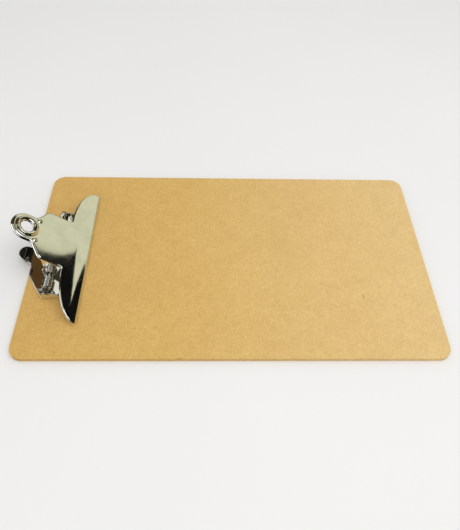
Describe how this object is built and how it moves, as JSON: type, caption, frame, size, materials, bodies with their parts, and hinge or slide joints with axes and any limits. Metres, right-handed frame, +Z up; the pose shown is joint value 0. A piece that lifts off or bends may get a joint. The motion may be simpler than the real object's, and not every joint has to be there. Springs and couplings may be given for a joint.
{
  "type": "clipboard",
  "caption": "Legal-size hardboard clipboard with a sprung metal clip: wide winged jaw, pierced handle to hang it by and a lever tab below.",
  "frame": {"origin": "centre of the board's underside", "axes": "+X along the board away from the clip, +Y across it, +Z up out of the writing face"},
  "size_m": [0.4072, 0.2286, 0.0581],
  "materials": {
    "hardboard": "smooth tempered hardboard, tan, mottled fibre",
    "nickel_plate": "bright nickel plate, mirror-like",
    "steel_pin": "bright plated pin",
    "spring_wire": "plated spring wire",
    "rivet_metal": "bright plated rivet"
  },
  "bodies": {
    "board_body": {"board": "hardboard", "base_plate": "nickel_plate", "axle": "steel_pin", "near_spring": "spring_wire", "far_spring": "spring_wire", "near_rivet": "rivet_metal", "far_rivet": "rivet_metal"},
    "clamp_body": {"clamp_plate": "nickel_plate"}
  },
  "joints": [
    {"name": "clamp_hinge", "type": "hinge", "parent": "board_body", "child": "clamp_body", "pos_m": [-0.17485, 0, 0.009], "axis": [0, -1, 0], "range_deg": [0, 30], "stiffness_Nm_per_rad": 0.4, "springref_deg": -57.3, "deforming": ["near_spring", "far_spring"]}
  ]
}
